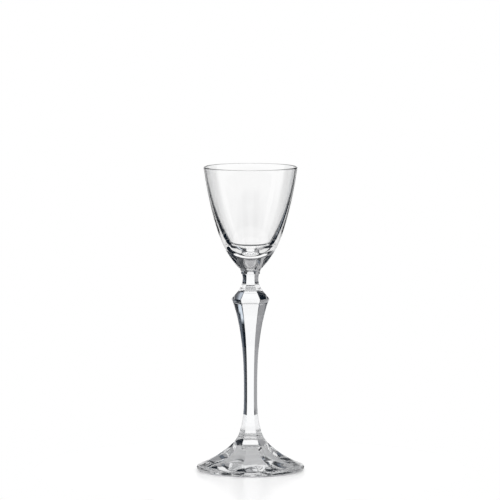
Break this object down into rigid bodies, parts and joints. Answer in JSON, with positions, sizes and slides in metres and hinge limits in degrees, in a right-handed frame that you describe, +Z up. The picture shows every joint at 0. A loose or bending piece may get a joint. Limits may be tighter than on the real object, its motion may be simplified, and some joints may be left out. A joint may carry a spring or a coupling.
{
  "type": "cordial glass",
  "caption": "Stemmed cordial glass: a thin flaring round bowl on a six-sided stem with a belted knop, over a flared foot that is hollow and faceted beneath.",
  "frame": {"origin": "middle of the flat ring under the foot, on the glass's own axis, level with the table", "axes": "+Z up along the glass's axis; +Y away from the viewer of the picture, so one flat side of the stem faces -Y; +X to that viewer's right"},
  "size_m": [0.0648, 0.0648, 0.183],
  "materials": {
    "bowl_glass": "gloss",
    "stem_glass": "gloss"
  },
  "bodies": {
    "root": {"bowl": "bowl_glass", "collar": "stem_glass", "stem": "stem_glass", "foot": "stem_glass"}
  },
  "joints": []
}
